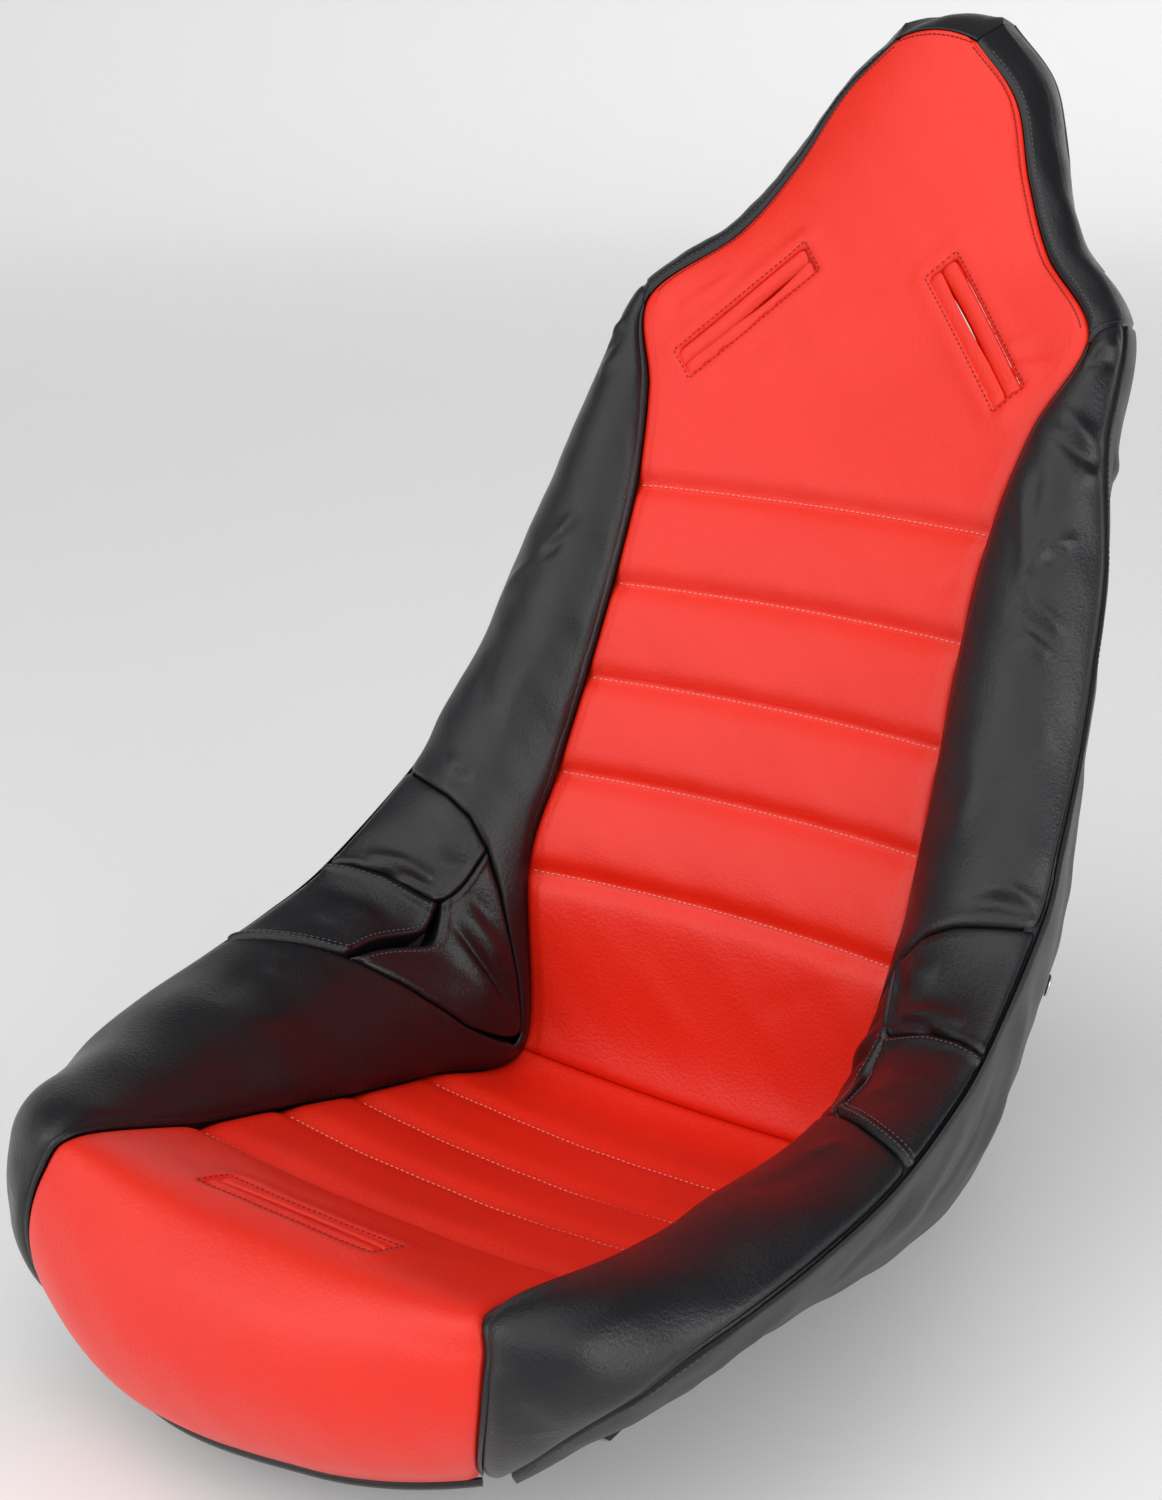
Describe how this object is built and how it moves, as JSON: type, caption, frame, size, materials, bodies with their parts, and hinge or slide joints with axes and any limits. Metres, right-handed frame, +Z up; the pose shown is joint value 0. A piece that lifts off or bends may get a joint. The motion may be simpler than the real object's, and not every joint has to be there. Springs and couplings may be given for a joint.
{
  "type": "racing seat",
  "caption": "High-back bucket racing seat: moulded shell on two threaded mounting rails, foam pads and a fitted sewn vinyl cover with channelled centre and harness slots.",
  "frame": {"origin": "centre of the four mounting threads, on the flat underside of the mounting rails", "axes": "-Y the way the sitter faces, +X the sitter's left, +Z up"},
  "size_m": [0.4984, 0.8105, 0.7505],
  "materials": {
    "shell_plastic": "moulded black polyethylene, fine texture",
    "rail_plastic": "black moulded blocks",
    "insert_metal": "knurled brass inserts",
    "bolt_steel": "zinc plated",
    "foam": "open-cell polyurethane foam with a cloth scrim",
    "red_vinyl": "satin leather-grain vinyl",
    "black_vinyl": "satin leather-grain vinyl",
    "hem_binding": "folded black binding",
    "slot_welt": "folded and stitched vinyl lips",
    "snap_metal": "nickel plated snap"
  },
  "bodies": {
    "root": {"seat_shell": "shell_plastic", "mount_rail_left": "rail_plastic", "mount_rail_right": "rail_plastic", "thread_inserts": "insert_metal", "rail_bolts": "bolt_steel", "rail_nuts": "bolt_steel", "base_foam": "foam", "back_foam": "foam", "side_foam_left": "foam", "side_foam_right": "foam", "hip_foam_left": "foam", "hip_foam_right": "foam", "thigh_foam_left": "foam", "thigh_foam_right": "foam", "back_panel": "red_vinyl", "seat_panel": "red_vinyl", "side_bolster_left": "black_vinyl", "side_bolster_right": "black_vinyl", "gusset_upper_left": "black_vinyl", "gusset_upper_right": "black_vinyl", "gusset_middle_left": "black_vinyl", "gusset_middle_right": "black_vinyl", "gusset_lower_left": "black_vinyl", "gusset_lower_right": "black_vinyl", "thigh_bolster_left": "black_vinyl", "thigh_bolster_right": "black_vinyl", "head_band_left": "black_vinyl", "head_band_right": "black_vinyl", "head_crown": "black_vinyl", "head_pocket_back": "black_vinyl", "skirt_left": "black_vinyl", "skirt_right": "black_vinyl", "front_hem": "hem_binding", "shoulder_slot_left": "slot_welt", "shoulder_slot_right": "slot_welt", "crotch_slot": "slot_welt", "snap_caps": "snap_metal", "snap_posts": "snap_metal"}
  },
  "joints": []
}
